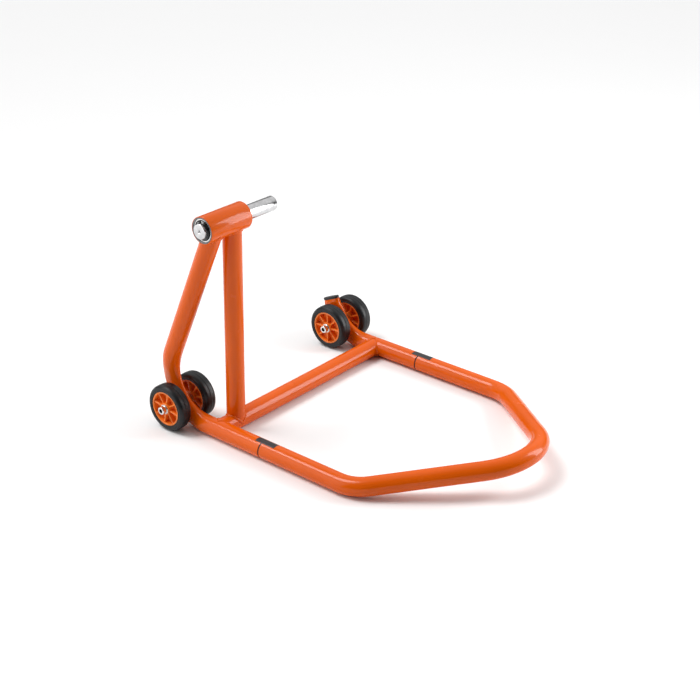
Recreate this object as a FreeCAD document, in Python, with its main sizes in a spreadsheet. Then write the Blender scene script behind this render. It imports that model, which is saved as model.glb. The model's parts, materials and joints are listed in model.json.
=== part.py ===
import FreeCAD, Part
import math
import os

import Sketcher

# Paddock stand for a motorcycle with a single-sided swingarm.
# +X points along the lifting pin, +Y to the wheels, +Z up, floor at Z = 0.
# The near side tube, which carries the pin, is the one at -X.

Vector = FreeCAD.Vector
Placement = FreeCAD.Placement
Rotation = FreeCAD.Rotation

DIMENSIONS = {
    # Round steel tube of the frame and the handle
    "tube_radius": 15.5,
    "tube_wall": 2.5,
    # Plan of the frame: side tubes at +X and -X, crossbar along X
    "half_width": 201.0,
    "cross_place": 179.9,
    "joint_reach": 101.0,
    "bend_reach": 284.0,
    "apex_reach": 519.0,
    "apex_rise": 47.0,
    "side_bend": 70.0,
    "apex_bend": 95.0,
    # Rise of the side tubes over the wheels
    "axle_reach": 82.7,
    "rise_angle": 47.0,
    "strut_angle": 114.0,
    "foot_bend": 70.0,
    "knee_bend": 80.0,
    "flat_half": 6.0,
    "flat_tall": 18.5,
    "far_end_turn": 19.5,
    "far_end_run": 17.0,
    "blend_start": 17.0,
    "blend_lead": 6.0,
    # Pin housing, strut and post
    "housing_height": 368.6,
    "housing_lead": 3.5,
    "housing_overhang": 20.4,
    "housing_length": 87.6,
    "housing_radius": 22.1,
    "housing_bore": 16.5,
    "strut_lead": 10.0,
    "post_foot_inset": 40.0,
    "post_top_inset": 44.0,
    # Spindle and lifting pin
    "journal_radius": 12.5,
    "pin_radius": 12.25,
    "pin_reach": 68.0,
    "pin_chamfer": 1.2,
    "end_stand": 6.0,
    # Thin-section ball bearings, 25 x 37 x 7
    "bearing_radius": 18.5,
    "bearing_width": 7.0,
    "bearing_recess": 1.5,
    "race_inner": 14.4,
    "race_outer": 16.6,
    "ball_pitch": 15.5,
    "ball_radius": 1.75,
    "ball_play": 0.1,
    "seal_lip": 14.75,
    "seal_thick": 0.8,
    "seal_recess": 0.4,
    "clip_thick": 1.2,
    "clip_seat": 11.85,
    "clip_radius": 15.2,
    "clip_gap": 9.0,
    # Wheels
    "wheel_radius": 40.0,
    "wheel_width": 24.0,
    "wheel_offset": 28.5,
    "tyre_round": 6.0,
    "rim_radius": 29.6,
    "rim_shell": 2.8,
    "rim_half": 11.1,
    "rib_half": 9.7,
    "rib_width": 2.6,
    "web_half": 2.0,
    "hub_radius": 9.6,
    "hub_half": 11.5,
    "bush_radius": 6.0,
    "bush_bore": 4.05,
    # Axle bolt, nut, washers and spacer
    "bolt_radius": 4.0,
    "bolt_head_radius": 6.5,
    "bolt_head_height": 8.0,
    "bolt_socket": 3.0,
    "bolt_socket_depth": 4.0,
    "bolt_spare": 1.0,
    "washer_radius": 8.0,
    "washer_thick": 1.2,
    "nut_flat": 6.5,
    "nut_height": 7.0,
    "side_play": 0.3,
    # Joint of the handle: sleeve, ring, key and screw
    "joint_gap": 2.6,
    "joint_ring_radius": 14.8,
    "sleeve_radius": 12.95,
    "sleeve_wall": 2.8,
    "sleeve_half": 62.0,
    "key_half_length": 20.0,
    "key_half_width": 6.5,
    "key_foot": 10.5,
    "key_lead": 6.5,
    "key_proud": 0.3,
    "key_play": 0.1,
    "key_corner": 1.0,
    "screw_place": 42.0,
    "screw_radius": 3.0,
    "screw_head": 5.0,
    "screw_play": 0.3,
    "screw_sink": 0.5,
    "screw_length": 7.5,
    # Oval cap on the end of the far side tube
    "cap_thick": 4.5,
    "cap_brim": 0.4,
    "cap_plug": 9.0,
    "plug_play": 1.0,
    "cap_round": 1.2,
}

RIB_COUNT = 8
BALL_COUNT = 20
# How far each near left, near right, far left and far right rim is turned, in degrees
RIM_TURNS = {"near_left": 11.0, "near_right": 32.0, "far_left": 0.0, "far_right": 20.0}
# Half lengths of the cuts that cope one tube to another and that drill the screw holes
COPE_HALF = 40.0
DRILL_HALF = 8.0
# How far a cut or a pad runs past the face it meets
OVERRUN = 1.0
# Where the arcs of an oval section meet, in degrees
SPLIT_ROUND = 45.0
SPLIT_FLAT = 10.0
FULL_FLATNESS = 1 - DIMENSIONS["flat_half"] / DIMENSIONS["flat_tall"]

# Shape of the side tube's section as (pinch, swell): 0 is round and 1 is pressed flat.
# Each entry follows the number of degrees that the bend has turned.
ROUND = (0.0, 0.0)
FLAT = (1.0, 1.0)
CUT_END = (1.0, 0.65)
FOOT_SHAPES = ((7.0, (0.16, 0.12)), (16.0, (0.50, 0.45)), (30.0, (0.88, 0.85)), (44.0, FLAT))
KNEE_SHAPES = ((14.0, FLAT), (27.0, (0.92, 0.70)), (41.0, (0.48, 0.10)), (55.0, (0.12, 0.0)))

doc = FreeCAD.newDocument("PaddockStand")
sheet = doc.addObject("Spreadsheet::Sheet", "dims")
for row, (alias, number) in enumerate(DIMENSIONS.items(), start=1):
    sheet.set(f"A{row}", alias)
    sheet.set(f"B{row}", str(number))
    sheet.setAlias(f"B{row}", alias)
doc.recompute()


def size(alias):
    """A driving dimension, read from the sheet."""
    return float(sheet.get(alias))


def d(formula):
    """Turn a formula of plain aliases into an expression on the sheet."""
    words = formula.replace("(", " ( ").replace(")", " ) ").split()
    return " ".join("dims." + word if word in DIMENSIONS else word for word in words)


# ---------------------------------------------------------------- helpers

def new_body(label):
    body = doc.addObject("PartDesign::Body", label)
    body.Label = label
    return body


def sketch_on(body, role="XY_Plane", offset=None):
    """A sketch on one of the body's own origin planes."""
    plane = next(item for item in body.Origin.OriginFeatures if item.Role == role)
    sketch = body.newObject("Sketcher::SketchObject", "Sketch")
    sketch.AttachmentSupport = [(plane, "")]
    sketch.MapMode = "FlatFace"
    if offset is not None:
        sketch.AttachmentOffset = offset
    return sketch


def add_circle(sketch, radius, across=None):
    """A circle on the sketch's own X axis, bound to the sheet."""
    index = sketch.addGeometry(Part.Circle(Vector(0, 0, 0), Vector(0, 0, 1), 10.0))
    fixed = sketch.addConstraint(Sketcher.Constraint("Radius", index, 10.0))
    sketch.setExpression(f"Constraints[{fixed}]", d(radius))
    if across is None:
        sketch.addConstraint(Sketcher.Constraint("Coincident", index, 3, -1, 1))
        return
    sketch.addConstraint(Sketcher.Constraint("PointOnObject", index, 3, -1))
    moved = sketch.addConstraint(Sketcher.Constraint("DistanceX", -1, 1, index, 3, 10.0))
    sketch.setExpression(f"Constraints[{moved}]", d(across))


def add_polygon(sketch, points):
    corners = [Vector(x, y, 0) for x, y in points]
    for start, end in zip(corners, corners[1:] + corners[:1]):
        sketch.addGeometry(Part.LineSegment(start, end))


def extrude(body, sketch, length, cut=False):
    """Pad or pocket from the sketch along its normal."""
    kind = "PartDesign::Pocket" if cut else "PartDesign::Pad"
    feature = body.newObject(kind, "Cut" if cut else "Run")
    feature.Profile = sketch
    feature.Reversed = cut
    feature.setExpression("Length", d(length))
    return feature


def ring(body, start, length, outer, inner=None, cut=False):
    """A disc or ring around X, from start, as long as length."""
    sketch = sketch_on(body, "YZ_Plane")
    sketch.setExpression("AttachmentOffset.Base.z", d(start))
    add_circle(sketch, outer)
    if inner is not None:
        add_circle(sketch, inner)
    return extrude(body, sketch, length, cut)


def hexagon(body, start, length, flat, cut=False):
    """A hexagonal prism around X; flat is half its width across flats."""
    sketch = sketch_on(body, "YZ_Plane")
    sketch.setExpression("AttachmentOffset.Base.z", d(start))
    corner = size(flat) / math.cos(math.pi / 6)
    angles = [math.pi / 3 * step for step in range(6)]
    add_polygon(sketch, [(corner * math.cos(a), corner * math.sin(a)) for a in angles])
    return extrude(body, sketch, length, cut)


def place(body, x="0", y="0", z="0"):
    """Bind a body's placement to the sheet."""
    for axis, formula in zip("xyz", (x, y, z)):
        body.setExpression(f"Placement.Base.{axis}", d(formula))


def facing(origin, normal, side):
    """A placement with local Z along normal and local X along side."""
    across = normal.cross(side)
    return Placement(origin, Rotation(side, across, normal, "ZXY"))


def tube_run(body, start, end, outer="tube_radius", inner="tube_radius - tube_wall"):
    """A straight length of tube between two points."""
    along = (end - start).normalize()
    side = Vector(1, 0, 0) if abs(along.x) < 0.5 else Vector(0, 0, 1)
    side = (side - along * side.dot(along)).normalize()
    sketch = sketch_on(body, offset=facing(start, along, side))
    add_circle(sketch, outer)
    if inner is not None:
        add_circle(sketch, inner)
    run = body.newObject("PartDesign::Pad", "Run")
    run.Profile = sketch
    run.Length = (end - start).Length
    return run


def bend_ends(before, corner, after, radius):
    """Tangent points and turn of a bend that rounds a corner of a route."""
    into = (corner - before).normalize()
    out = (after - corner).normalize()
    turn = into.getAngle(out)
    reach = radius * math.tan(turn / 2)
    return corner - into * reach, corner + out * reach, turn


def tube_bend(body, before, corner, after, radius):
    """A bend of the tube round a corner; radius names its centreline radius."""
    start, _, turn = bend_ends(before, corner, after, size(radius))
    into = (corner - before).normalize()
    out = (after - corner).normalize()
    inward = (out - into * out.dot(into)).normalize()
    centre = start + inward * size(radius)
    sketch = sketch_on(body, offset=facing(centre, -into, -inward))
    add_circle(sketch, "tube_radius", across=radius)
    add_circle(sketch, "tube_radius - tube_wall", across=radius)
    bend = body.newObject("PartDesign::Revolution", "Bend")
    bend.Profile = sketch
    bend.ReferenceAxis = (sketch, ["V_Axis"])
    bend.Angle = math.degrees(turn)
    return bend


def add_oval(sketch, half_width, half_height, split):
    """An oval of four tangent arcs; split is where side arcs meet end arcs."""
    angle = math.radians(split)
    spread = (half_height - half_width) / (math.cos(angle) + math.sin(angle) - 1)
    lift = spread * math.sin(angle)
    slip = spread * math.cos(angle)
    arcs = [
        (Vector(-slip, 0, 0), half_width + slip, -angle, angle),
        (Vector(0, lift, 0), half_height - lift, angle, math.pi - angle),
        (Vector(slip, 0, 0), half_width + slip, math.pi - angle, math.pi + angle),
        (Vector(0, -lift, 0), half_height - lift, math.pi + angle, 2 * math.pi - angle),
    ]
    for centre, radius, first, last in arcs:
        circle = Part.Circle(centre, Vector(0, 0, 1), radius)
        sketch.addGeometry(Part.ArcOfCircle(circle, first, last))


# ---------------------------------------------------------------- routes of the tubes

def side_route(x):
    """Corners of a side tube's centreline, from the joint to the housing axis."""
    floor_height = size("tube_radius")
    slope = math.radians(size("rise_angle"))
    strut = math.radians(size("strut_angle"))
    axle_y = size("cross_place") + size("axle_reach")
    foot = Vector(x, axle_y - (size("wheel_radius") - floor_height) / math.tan(slope), floor_height)
    top = Vector(x, size("cross_place") - size("strut_lead"), size("housing_height"))
    gap = top - foot
    along = (gap.y * math.sin(strut) - gap.z * math.cos(strut)) / math.sin(strut - slope)
    knee = foot + Vector(0, math.cos(slope), math.sin(slope)) * along
    joint = Vector(x, size("cross_place") - size("joint_reach"), floor_height)
    return joint, foot, knee, top


def bend_station(before, corner, after, radius, turned):
    """Point and heading on a bend in a plane of constant X, after turning by some degrees."""
    start, _, _ = bend_ends(before, corner, after, radius)
    into = (corner - before).normalize()
    heading = math.atan2(into.z, into.y)
    centre = start + Vector(0, -math.sin(heading), math.cos(heading)) * radius
    heading += math.radians(turned)
    point = centre + Vector(0, math.sin(heading), -math.cos(heading)) * radius
    return point, math.degrees(heading)


def pressed_stations(x):
    """Stations of the pressed stretch over the wheels: point, heading and flatness."""
    joint, foot, knee, top = side_route(x)
    foot_bend = size("foot_bend")
    knee_bend = size("knee_bend")
    lead = size("blend_lead")
    begin = Vector(x, size("cross_place") + size("blend_start"), size("tube_radius"))
    stations = [(begin, 0.0, ROUND), (begin + Vector(0, lead, 0), 0.0, ROUND)]
    for turned, shape in FOOT_SHAPES:
        point, heading = bend_station(joint, foot, knee, foot_bend, turned)
        stations.append((point, heading, shape))
    for turned, shape in KNEE_SHAPES:
        point, heading = bend_station(foot, knee, top, knee_bend, turned)
        stations.append((point, heading, shape))
    _, knee_end, turn = bend_ends(foot, knee, top, knee_bend)
    heading = size("rise_angle") + math.degrees(turn)
    climb = (top - knee).normalize()
    stations.append((knee_end, heading, ROUND))
    stations.append((knee_end + climb * lead, heading, ROUND))
    return stations


def oval_halves(shape):
    """Half width and half height of a section between round (0, 0) and flat (1, 1)."""
    radius = size("tube_radius")
    pinch, swell = shape
    half_width = radius + (size("flat_half") - radius) * pinch
    half_height = radius + (size("flat_tall") - radius) * swell
    return half_width, half_height


def oval_split(shape):
    """Angle where side arcs meet end arcs, smaller as the section gets flatter."""
    half_width, half_height = oval_halves(shape)
    flatness = 1 - half_width / half_height
    return SPLIT_ROUND - (SPLIT_ROUND - SPLIT_FLAT) * flatness / FULL_FLATNESS


def oval_sketch(body, station, shrink=0.0):
    """The tube's outline at a station, smaller all round by shrink."""
    point, heading, shape = station
    offset = Placement(point, Rotation(Vector(1, 0, 0), 90 + heading))
    sketch = sketch_on(body, offset=offset)
    half_width, half_height = oval_halves(shape)
    add_oval(sketch, half_width - shrink, half_height - shrink, oval_split(shape))
    return sketch


def pressed_tube(body, stations):
    """The pressed, bent stretch of a side tube, hollow."""
    for kind, shrink in (("AdditiveLoft", 0.0), ("SubtractiveLoft", size("tube_wall"))):
        outlines = [oval_sketch(body, station, shrink) for station in stations]
        loft = body.newObject(f"PartDesign::{kind}", kind)
        loft.Profile = outlines[0]
        loft.Sections = outlines[1:]
        loft.Ruled = False
        loft.Closed = False


def cut_round(body, radius, centre, axis, half_length):
    """Cut a round bar's shape out of a body, to cope it or to drill it."""
    side = Vector(0, 0, 1) if abs(axis.z) < 0.5 else Vector(1, 0, 0)
    sketch = sketch_on(body, offset=facing(centre - axis * half_length, axis, side))
    add_circle(sketch, radius)
    pocket = body.newObject("PartDesign::Pocket", "Cope")
    pocket.Profile = sketch
    pocket.Reversed = True
    pocket.Length = 2 * half_length
    return pocket


def cut_key_slot(body, x):
    """The slot for the key in the upper wall of a tube end."""
    key_y = size("cross_place") - size("joint_reach") - size("key_lead")
    half_length = size("key_half_length") + size("key_play")
    half_width = size("key_half_width") + size("key_play")
    sketch = sketch_on(body, offset=Placement(Vector(x, key_y, size("tube_radius")), Rotation()))
    corners = [(-half_width, -half_length), (half_width, -half_length),
               (half_width, half_length), (-half_width, half_length)]
    add_polygon(sketch, corners)
    extrude(body, sketch, "tube_radius * 2", cut=True)


# ---------------------------------------------------------------- frame

def side_tube(label, x, stations, climbs):
    """A side tube from the joint, past the crossbar and up over the wheels."""
    joint, _, _, top = side_route(x)
    body = new_body(label)
    begin = joint + Vector(0, size("joint_gap") / 2, 0)
    tube_run(body, begin, stations[0][0])
    pressed_tube(body, stations)
    if climbs:
        tube_run(body, stations[-1][0], top)
        housing = Vector(x, size("cross_place") - size("housing_lead"), size("housing_height"))
        cut_round(body, "housing_radius", housing, Vector(1, 0, 0), size("housing_length"))
    axle = Vector(x, size("cross_place") + size("axle_reach"), size("wheel_radius"))
    cut_round(body, "bush_radius", axle, Vector(1, 0, 0), size("tube_radius"))
    cut_key_slot(body, x)
    return body


near_x = -size("half_width")
far_x = size("half_width")
near_stations = pressed_stations(near_x)
side_tube("near_side_tube", near_x, near_stations, climbs=True)

far_stations = pressed_stations(far_x)[:2 + len(FOOT_SHAPES)]
_, foot_corner, knee_corner, top_point = side_route(far_x)
end_start, cut_heading = bend_station(
    foot_corner, knee_corner, top_point, size("knee_bend"), size("far_end_turn"))
slope = math.radians(cut_heading)
cut_point = end_start + Vector(0, math.cos(slope), math.sin(slope)) * size("far_end_run")
far_stations += [(end_start, cut_heading, FLAT), (cut_point, cut_heading, CUT_END)]
side_tube("far_side_tube", far_x, far_stations, climbs=False)

crossbar = new_body("crossbar")
cross_y = size("cross_place")
floor_height = size("tube_radius")
tube_run(crossbar, Vector(near_x, cross_y, floor_height), Vector(far_x, cross_y, floor_height))
for side_x in (near_x, far_x):
    cut_round(crossbar, "tube_radius", Vector(side_x, cross_y, floor_height), Vector(0, 1, 0), COPE_HALF)

post = new_body("post")
housing_y = cross_y - size("housing_lead")
post_foot = Vector(near_x + size("post_foot_inset"), cross_y, floor_height)
post_top = Vector(near_x + size("post_top_inset"), housing_y, size("housing_height"))
tube_run(post, post_foot, post_top)
cut_round(post, "tube_radius", post_foot, Vector(1, 0, 0), COPE_HALF)
cut_round(post, "housing_radius", post_top, Vector(1, 0, 0), COPE_HALF)

HOUSING_LEFT = "- half_width - housing_overhang"
HOUSING_RIGHT = f"{HOUSING_LEFT} + housing_length"
HOUSING_AXIS = ("0", "cross_place - housing_lead", "housing_height")

housing = new_body("pin_housing")
ring(housing, HOUSING_LEFT, "housing_length", "housing_radius", "housing_bore")
seat_depth = "bearing_width + bearing_recess"
ring(housing, HOUSING_LEFT, seat_depth, "bearing_radius", cut=True)
ring(housing, f"{HOUSING_RIGHT} - bearing_width - bearing_recess", seat_depth, "bearing_radius", cut=True)
place(housing, *HOUSING_AXIS)


# ---------------------------------------------------------------- handle

def handle_route():
    """Corners of the handle's centreline from the near joint round to the far joint."""
    joint_y = cross_y - size("joint_reach") - size("joint_gap") / 2
    bend_y = cross_y - size("bend_reach")
    apex_y = cross_y - size("apex_reach")
    return [
        Vector(near_x, joint_y, floor_height),
        Vector(near_x, bend_y, floor_height),
        Vector(0, apex_y, floor_height + size("apex_rise")),
        Vector(far_x, bend_y, floor_height),
        Vector(far_x, joint_y, floor_height),
    ]


handle = new_body("handle_loop")
route = handle_route()
radii = ("side_bend", "apex_bend", "side_bend")
run_start = route[0]
for before, corner, after, radius in zip(route, route[1:], route[2:], radii):
    bend_start, bend_end, _ = bend_ends(before, corner, after, size(radius))
    tube_run(handle, run_start, bend_start)
    tube_bend(handle, before, corner, after, radius)
    run_start = bend_end
tube_run(handle, run_start, route[-1])
for side_x in (near_x, far_x):
    cut_key_slot(handle, side_x)
    hole = Vector(side_x, cross_y - size("joint_reach") - size("screw_place"), 0)
    cut_round(handle, "screw_radius + screw_play", hole, Vector(0, 0, 1), DRILL_HALF)
    sink = handle.newObject("PartDesign::SubtractiveCone", "Sink")
    sink.Placement = Placement(hole, Rotation())
    sink.setExpression("Radius1", d("screw_head + screw_sink"))
    sink.setExpression("Radius2", d("screw_radius + screw_play"))
    sink.setExpression("Height", d("screw_head + screw_sink - screw_radius - screw_play"))
handle.Tip = handle.Group[-1]


# ---------------------------------------------------------------- joints of the handle

def handle_joint(side, x):
    """Sleeve, ring, key and screw that hold one end of the handle."""
    joint = Vector(x, cross_y - size("joint_reach"), floor_height)
    reach = Vector(0, size("sleeve_half"), 0)

    sleeve = new_body(f"joint_sleeve_{side}")
    tube_run(sleeve, joint - reach, joint + reach, "sleeve_radius", "sleeve_radius - sleeve_wall")
    seat = Placement(joint + Vector(0, -size("key_lead"), size("key_foot")), Rotation())
    sketch = sketch_on(sleeve, offset=seat)
    half_length = size("key_half_length") + size("key_play")
    width = size("sleeve_radius")
    add_polygon(sketch, [(-width, -half_length), (width, -half_length),
                         (width, half_length), (-width, half_length)])
    extrude(sleeve, sketch, "sleeve_radius", cut=True)
    hole = Vector(x, joint.y - size("screw_place"), 0)
    cut_round(sleeve, "screw_radius", hole, Vector(0, 0, 1), DRILL_HALF)

    collar = new_body(f"joint_ring_{side}")
    half_gap = Vector(0, size("joint_gap") / 2, 0)
    tube_run(collar, joint - half_gap, joint + half_gap, "joint_ring_radius", "sleeve_radius")
    cut_key_slot(collar, x)

    key = new_body(f"joint_key_{side}")
    sketch = sketch_on(key)
    half_length = size("key_half_length")
    half_width = size("key_half_width")
    add_polygon(sketch, [(-half_width, -half_length), (half_width, -half_length),
                         (half_width, half_length), (-half_width, half_length)])
    bar = extrude(key, sketch, "tube_radius")
    doc.recompute()
    edges = [f"Edge{number}" for number, edge in enumerate(bar.Shape.Edges, start=1)
             if abs(edge.tangentAt(edge.FirstParameter).z) > 0.9]
    rounded = key.newObject("PartDesign::Fillet", "Corners")
    rounded.Base = (bar, edges)
    rounded.setExpression("Radius", d("key_corner"))
    axis_start = Vector(0, half_length + OVERRUN, -size("key_foot"))
    sketch = sketch_on(key, offset=facing(axis_start, Vector(0, -1, 0), Vector(1, 0, 0)))
    add_circle(sketch, "tube_radius * 2")
    add_circle(sketch, "tube_radius + key_proud")
    extrude(key, sketch, f"( key_half_length + {OVERRUN} ) * 2", cut=True)
    key.Placement = seat

    screw = new_body(f"joint_screw_{side}")
    sketch = sketch_on(screw)
    head = size("screw_head")
    shank = size("screw_radius")
    cone_end = size("tube_wall") - size("screw_sink")
    tip = size("screw_length")
    add_polygon(sketch, [(0, 0), (head, 0), (shank, cone_end), (shank, tip), (0, tip)])
    turned = screw.newObject("PartDesign::Revolution", "Turned")
    turned.Profile = sketch
    turned.ReferenceAxis = (sketch, ["V_Axis"])
    turned.Angle = 360.0
    screw.Placement = Placement(hole + Vector(0, 0, size("screw_sink")), Rotation(Vector(1, 0, 0), 90))


for side, side_x in (("near", near_x), ("far", far_x)):
    handle_joint(side, side_x)


# ---------------------------------------------------------------- far end cap

cap = new_body("far_end_cap")
half_width, half_height = oval_halves(CUT_END)
cap_frame = Placement(cut_point, Rotation(Vector(1, 0, 0), 90 + cut_heading))
brim = sketch_on(cap)
add_oval(brim, half_width + size("cap_brim"), half_height + size("cap_brim"), oval_split(CUT_END))
brim_pad = cap.newObject("PartDesign::Pad", "Brim")
brim_pad.Profile = brim
brim_pad.Reversed = True
brim_pad.setExpression("Length", d("cap_thick"))
doc.recompute()
top_face = min(enumerate(brim_pad.Shape.Faces, start=1), key=lambda pair: pair[1].CenterOfMass.z)
brim_round = cap.newObject("PartDesign::Fillet", "BrimRound")
brim_round.Base = (brim_pad, [f"Face{top_face[0]}"])
brim_round.setExpression("Radius", d("cap_round"))
plug = sketch_on(cap)
inset = size("tube_wall") + size("plug_play")
add_oval(plug, half_width - inset, half_height - inset, oval_split(CUT_END))
plug_pad = cap.newObject("PartDesign::Pad", "Plug")
plug_pad.Profile = plug
plug_pad.setExpression("Length", d("cap_plug"))
cap.Placement = cap_frame


# ---------------------------------------------------------------- wheels

def wheel(name, x_formula):
    """A tyre, a ribbed rim and a bush, built round X and placed on the axle."""
    tyre = new_body(f"tyre_{name}")
    band = ring(tyre, "- wheel_width / 2", "wheel_width", "wheel_radius", "rim_radius")
    doc.recompute()
    shoulders = [f"Edge{number}" for number, edge in enumerate(band.Shape.Edges, start=1)
                 if abs(edge.BoundBox.ZMax - size("wheel_radius")) < 0.01
                 and edge.BoundBox.XLength < 0.01]
    rounded = tyre.newObject("PartDesign::Fillet", "Shoulders")
    rounded.Base = (band, shoulders)
    rounded.setExpression("Radius", d("tyre_round"))

    rim = new_body(f"rim_{name}")
    ring(rim, "- rim_half", "2 * rim_half", "rim_radius", "rim_radius - rim_shell")
    ring(rim, "- web_half", "2 * web_half", "rim_radius - rim_shell / 2", "bush_radius")
    ring(rim, "- hub_half", "2 * hub_half", "hub_radius", "bush_radius")
    sketch = sketch_on(rim, "YZ_Plane")
    sketch.setExpression("AttachmentOffset.Base.z", d("- rib_half"))
    rib_half = size("rib_width") / 2
    root = size("hub_radius") - OVERRUN
    end = size("rim_radius") - size("rim_shell") / 2
    add_polygon(sketch, [(root, -rib_half), (end, -rib_half), (end, rib_half), (root, rib_half)])
    sketch.AttachmentOffset.Rotation = Rotation(Vector(0, 0, 1), RIM_TURNS[name])
    rib = extrude(rim, sketch, "2 * rib_half")
    doc.recompute()
    ribs = rim.newObject("PartDesign::PolarPattern", "Ribs")
    ribs.Originals = [rib]
    axis = next(item for item in rim.Origin.OriginFeatures if item.Role == "X_Axis")
    ribs.Axis = (axis, [""])
    ribs.Angle = 360.0
    ribs.Occurrences = RIB_COUNT
    rim.Tip = ribs

    bush = new_body(f"bush_{name}")
    ring(bush, "- hub_half", "2 * hub_half", "bush_radius", "bush_bore")

    for body in (tyre, rim, bush):
        place(body, x_formula, "cross_place + axle_reach", "wheel_radius")


def axle(name, x_formula):
    """Bolt, spacer, washers and nut of one pair of wheels."""
    end_face = "wheel_offset + hub_half + side_play"

    bolt = new_body(f"axle_bolt_{name}")
    head_face = f"( {end_face} + washer_thick )"
    ring(bolt, f"- {head_face} - bolt_head_height", "bolt_head_height", "bolt_head_radius")
    shank = f"2 * {head_face} + nut_height + bolt_spare"
    ring(bolt, f"- {head_face}", shank, "bolt_radius")
    hexagon(bolt, f"- {head_face} - bolt_head_height", "bolt_socket_depth", "bolt_socket", cut=True)

    spacer = new_body(f"axle_spacer_{name}")
    inner_face = "( wheel_offset - hub_half - side_play )"
    ring(spacer, f"- {inner_face}", f"2 * {inner_face}", "bush_radius", "bush_bore")

    washers = []
    for side, start in (("left", f"- {head_face}"), ("right", end_face)):
        washer = new_body(f"axle_washer_{name}_{side}")
        ring(washer, start, "washer_thick", "washer_radius", "bush_bore")
        washers.append(washer)

    nut = new_body(f"axle_nut_{name}")
    hexagon(nut, head_face, "nut_height", "nut_flat")
    ring(nut, head_face, "nut_height", "bolt_radius", cut=True)

    for body in [bolt, spacer, nut] + washers:
        place(body, x_formula, "cross_place + axle_reach", "wheel_radius")


for name, middle in (("near", "- half_width"), ("far", "half_width")):
    wheel(f"{name}_left", f"{middle} - wheel_offset")
    wheel(f"{name}_right", f"{middle} + wheel_offset")
    axle(name, middle)


# ---------------------------------------------------------------- spindle and bearings

spindle = new_body("lifting_pin")
journal_length = f"end_stand + housing_length + {OVERRUN}"
ring(spindle, f"{HOUSING_LEFT} - end_stand", journal_length, "journal_radius")
ring(spindle, f"{HOUSING_RIGHT} + {OVERRUN}", f"pin_reach - {OVERRUN}", "pin_radius")
left_clip = f"{HOUSING_LEFT} + bearing_recess - clip_thick"
right_clip = f"{HOUSING_RIGHT} - bearing_recess"
for start in (left_clip, right_clip):
    sketch = sketch_on(spindle, "YZ_Plane")
    sketch.setExpression("AttachmentOffset.Base.z", d(start))
    add_circle(sketch, f"journal_radius + {OVERRUN}")
    add_circle(sketch, "clip_seat")
    groove = extrude(spindle, sketch, "clip_thick", cut=True)
doc.recompute()
tips = []
for number, edge in enumerate(groove.Shape.Edges, start=1):
    box = edge.BoundBox
    ends = (groove.Shape.BoundBox.XMin, groove.Shape.BoundBox.XMax)
    if box.XLength < 0.01 and min(abs(box.XMin - end) for end in ends) < 0.01:
        tips.append(f"Edge{number}")
pointed = spindle.newObject("PartDesign::Chamfer", "Ends")
pointed.Base = (groove, tips)
pointed.setExpression("Size", d("pin_chamfer"))
place(spindle, *HOUSING_AXIS)


def clip(name, start):
    """An open ring in the spindle's groove that holds the bearing in."""
    body = new_body(f"circlip_{name}")
    ring(body, start, "clip_thick", "clip_radius", "clip_seat")
    sketch = sketch_on(body, "YZ_Plane")
    sketch.setExpression("AttachmentOffset.Base.z", d(start))
    half_gap = size("clip_gap") / 2
    far = size("clip_radius") + OVERRUN
    add_polygon(sketch, [(-half_gap, 0), (half_gap, 0), (half_gap, far), (-half_gap, far)])
    extrude(body, sketch, "clip_thick", cut=True)
    place(body, *HOUSING_AXIS)


def bearing(name, start):
    """Outer race, inner race, balls and seals of one bearing."""
    for race, outer, inner in (("outer", "bearing_radius", "race_outer"),
                               ("inner", "race_inner", "journal_radius")):
        body = new_body(f"bearing_{race}_{name}")
        ring(body, start, "bearing_width", outer, inner)
        sketch = sketch_on(body, "XY_Plane")
        index = sketch.addGeometry(Part.Circle(Vector(0, 10, 0), Vector(0, 0, 1), 1.0))
        track = sketch.addConstraint(Sketcher.Constraint("Radius", index, 1.0))
        sketch.setExpression(f"Constraints[{track}]", d("ball_radius + ball_play"))
        across = sketch.addConstraint(Sketcher.Constraint("DistanceX", -1, 1, index, 3, 1.0))
        sketch.setExpression(f"Constraints[{across}]", d(f"{start} + bearing_width / 2"))
        up = sketch.addConstraint(Sketcher.Constraint("DistanceY", -1, 1, index, 3, 10.0))
        sketch.setExpression(f"Constraints[{up}]", d("ball_pitch"))
        groove = body.newObject("PartDesign::Groove", "Track")
        groove.Profile = sketch
        groove.ReferenceAxis = (sketch, ["H_Axis"])
        groove.Angle = 360.0
        groove.Midplane = True
        place(body, *HOUSING_AXIS)

    for side, face in (("left", f"{start} + seal_recess"),
                       ("right", f"{start} + bearing_width - seal_recess - seal_thick")):
        seal = new_body(f"bearing_seal_{name}_{side}")
        ring(seal, face, "seal_thick", "race_outer", "seal_lip")
        place(seal, *HOUSING_AXIS)


left_bearing = f"{HOUSING_LEFT} + bearing_recess"
right_bearing = f"{HOUSING_RIGHT} - bearing_recess - bearing_width"
clip("left", left_clip)
clip("right", right_clip)
bearing("left", left_bearing)
bearing("right", right_bearing)


def ball_set(name, middle_x):
    """The loose balls of one bearing, spaced round the pitch circle."""
    balls = []
    for number in range(BALL_COUNT):
        angle = 2 * math.pi * number / BALL_COUNT
        centre = Vector(0, math.cos(angle), math.sin(angle)) * size("ball_pitch")
        balls.append(Part.makeSphere(size("ball_radius"), centre))
    feature = doc.addObject("Part::Feature", f"bearing_balls_{name}")
    feature.Label = f"bearing_balls_{name}"
    feature.Shape = Part.makeCompound(balls)
    feature.Placement = Placement(Vector(middle_x, housing_y, size("housing_height")), Rotation())


half_bearing = size("bearing_recess") + size("bearing_width") / 2
housing_left_x = -size("half_width") - size("housing_overhang")
ball_set("left", housing_left_x + half_bearing)
ball_set("right", housing_left_x + size("housing_length") - half_bearing)


# ---------------------------------------------------------------- check and write

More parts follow.
